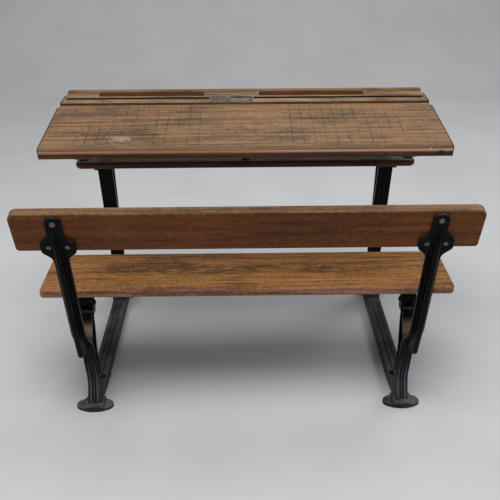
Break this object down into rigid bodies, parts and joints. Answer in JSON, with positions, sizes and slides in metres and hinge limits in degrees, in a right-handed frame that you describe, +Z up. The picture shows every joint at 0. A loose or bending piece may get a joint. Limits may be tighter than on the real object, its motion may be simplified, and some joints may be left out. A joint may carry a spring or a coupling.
{
  "type": "school desk",
  "caption": "Cast iron and oak school desk with a lifting sloped lid, fixed back board with pen trays and inkwell, book shelf and tip-up bench with a back rail.",
  "frame": {"origin": "on the floor, under the middle of the whole desk", "axes": "+X along the desk to the sitters' right, +Y from the bench to the desk, +Z up"},
  "size_m": [0.9236, 0.6258, 0.6125],
  "materials": {
    "oak_lid": "worn, greyed oak with one-inch ruled squares",
    "oak_back_board": "worn oak",
    "seat_wood": "polished by use, darker streaks",
    "rail_wood": "reddish brown, varnished",
    "shelf_wood": "dark stained",
    "black_iron": "black paint, semi-gloss, dusty",
    "worn_steel": "dull, tarnished",
    "slide_steel": "dull, rubbed",
    "bolt_steel": "black paint",
    "screw_steel": "dark, worn",
    "pot_glaze": "white glaze"
  },
  "bodies": {
    "frame": {"back_board": "oak_back_board", "back_board_screws": "screw_steel", "back_rail": "rail_wood", "back_rail_screws": "screw_steel", "bracket_screws": "screw_steel", "centre_bracket": "black_iron", "desk_standard_left": "black_iron", "desk_standard_right": "black_iron", "frame_bolts": "bolt_steel", "inkwell_housing": "worn_steel", "inkwell_pot": "pot_glaze", "inkwell_screws": "screw_steel", "lid_pivot_left": "black_iron", "lid_pivot_right": "black_iron", "lid_pivot_screws": "screw_steel", "seat_hinge_pin_left": "bolt_steel", "seat_hinge_pin_right": "bolt_steel", "seat_standard_left": "black_iron", "seat_standard_right": "black_iron", "shelf_board": "shelf_wood", "shelf_screws": "screw_steel"},
    "lid": {"lid_board": "oak_lid"},
    "bench_seat": {"seat_board": "seat_wood", "seat_bracket_left": "black_iron", "seat_bracket_right": "black_iron", "seat_screws": "screw_steel"},
    "ink_slide": {"inkwell_slide": "slide_steel"}
  },
  "joints": [
    {"name": "lid_hinge", "type": "hinge", "parent": "frame", "child": "lid", "pos_m": [0, 0.20165, 0.5916], "axis": [-1, 0, 0], "range_deg": [0, 98]},
    {"name": "seat_hinge", "type": "hinge", "parent": "frame", "child": "bench_seat", "pos_m": [0, -0.15165, 0.264], "axis": [1, 0, 0], "range_deg": [0, 95]},
    {"name": "ink_slide", "type": "slide", "parent": "frame", "child": "ink_slide", "axis": [-1, 0, 0], "range_m": [0, 0.043]}
  ]
}
